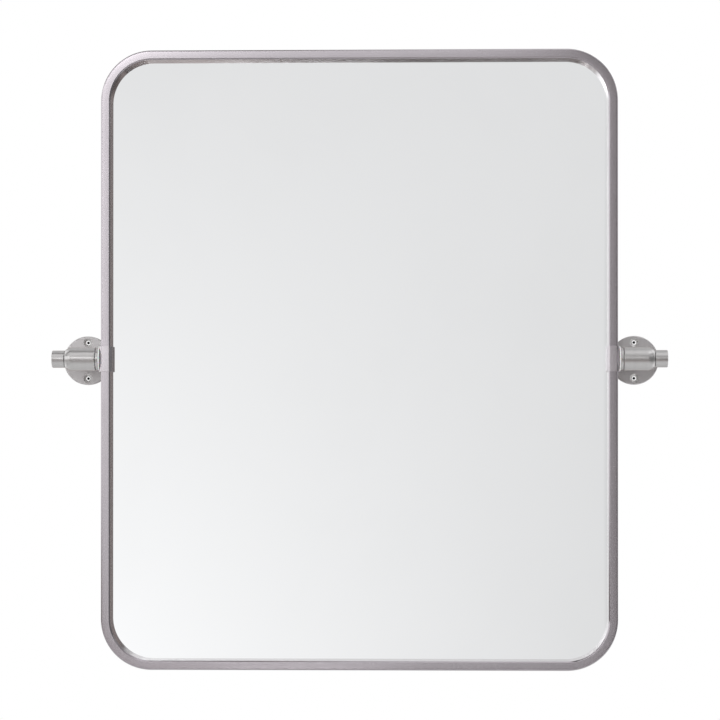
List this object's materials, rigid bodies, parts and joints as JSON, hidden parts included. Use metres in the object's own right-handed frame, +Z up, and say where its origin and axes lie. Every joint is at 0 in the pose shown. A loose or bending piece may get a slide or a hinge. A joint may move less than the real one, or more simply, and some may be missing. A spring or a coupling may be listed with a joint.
{
  "type": "pivot wall mirror",
  "caption": "Tilting wall mirror in a thin rounded metal frame, held at both sides by turned pivot brackets with clamping knobs on round wall plates.",
  "frame": {"origin": "on the wall plane, halfway between the two wall plates, at the height of the pivot axis", "axes": "+X to the right as a viewer sees it, +Y into the wall, +Z up"},
  "size_m": [0.6058, 0.0675, 0.6096],
  "materials": {
    "brushed_nickel": "brushed nickel plate, fine lines along the frame",
    "turned_nickel": "brushed nickel plate, fine turned lines",
    "plate_nickel": "brushed nickel plate, fine grain across the plate",
    "mirror_glass": "silvered float glass",
    "foam": "soft white foam sheet",
    "backing_board": "dark pressed fibre board",
    "nylon": "natural white nylon",
    "zinc_steel": "bright zinc plated steel"
  },
  "bodies": {
    "wall_brackets": {"left_wall_plate": "plate_nickel", "right_wall_plate": "plate_nickel", "left_post": "turned_nickel", "right_post": "turned_nickel", "left_post_screw": "zinc_steel", "right_post_screw": "zinc_steel", "left_barrel": "turned_nickel", "right_barrel": "turned_nickel", "left_bush": "turned_nickel", "right_bush": "turned_nickel", "left_spring_washer": "zinc_steel", "right_spring_washer": "zinc_steel"},
    "mirror": {"frame": "brushed_nickel", "mirror_glass": "mirror_glass", "foam_pad": "foam", "backing_board": "backing_board", "retaining_tabs": "zinc_steel", "tab_screws": "zinc_steel", "left_pivot_block": "zinc_steel", "right_pivot_block": "zinc_steel", "left_saddle": "brushed_nickel", "right_saddle": "brushed_nickel", "left_nylon_washer": "nylon", "right_nylon_washer": "nylon"},
    "left_clamp": {"left_knob": "turned_nickel", "left_pivot_stud": "zinc_steel"},
    "right_clamp": {"right_knob": "turned_nickel", "right_pivot_stud": "zinc_steel"}
  },
  "joints": [
    {"name": "mirror_tilt", "type": "hinge", "parent": "wall_brackets", "child": "mirror", "pos_m": [0, -0.055, 0], "axis": [1, 0, 0], "range_deg": [-6.8, 6.8]},
    {"name": "left_knob_turn", "type": "hinge", "parent": "mirror", "child": "left_clamp", "pos_m": [-0.297, -0.055, 0], "axis": [-1, 0, 0], "range_deg": [0, 360]},
    {"name": "right_knob_turn", "type": "hinge", "parent": "mirror", "child": "right_clamp", "pos_m": [0.297, -0.055, 0], "axis": [1, 0, 0], "range_deg": [0, 360]}
  ]
}
